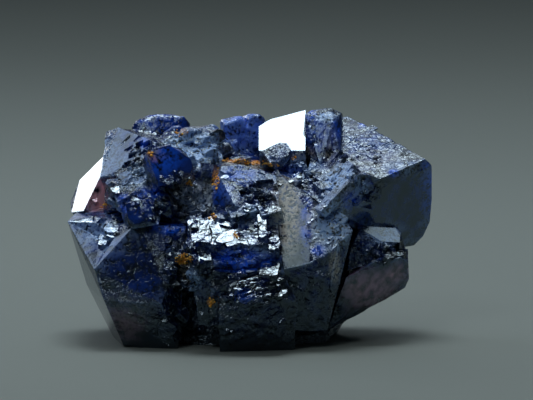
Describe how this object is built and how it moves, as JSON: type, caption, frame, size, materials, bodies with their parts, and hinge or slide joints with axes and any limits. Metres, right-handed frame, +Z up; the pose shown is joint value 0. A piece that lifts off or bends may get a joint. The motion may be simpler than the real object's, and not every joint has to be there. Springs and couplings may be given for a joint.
{
  "type": "boleite crystal cluster",
  "caption": "Deep blue boleite crystal cluster: intergrown cubes with flat faces, growth steps, square pits and a flat break it rests on.",
  "frame": {"origin": "under the middle of the cluster's box, on the flat break it rests on", "axes": "+X across the cluster from left to right as seen from its front, +Y from its front to its back, +Z up"},
  "size_m": [0.0124, 0.0088, 0.0077],
  "materials": {
    "boleite": "glassy deep blue crystal faces, some smooth and some pitted, with ochre iron stains in the crevices"
  },
  "bodies": {
    "root": {"crystal_cluster": "boleite"}
  },
  "joints": []
}
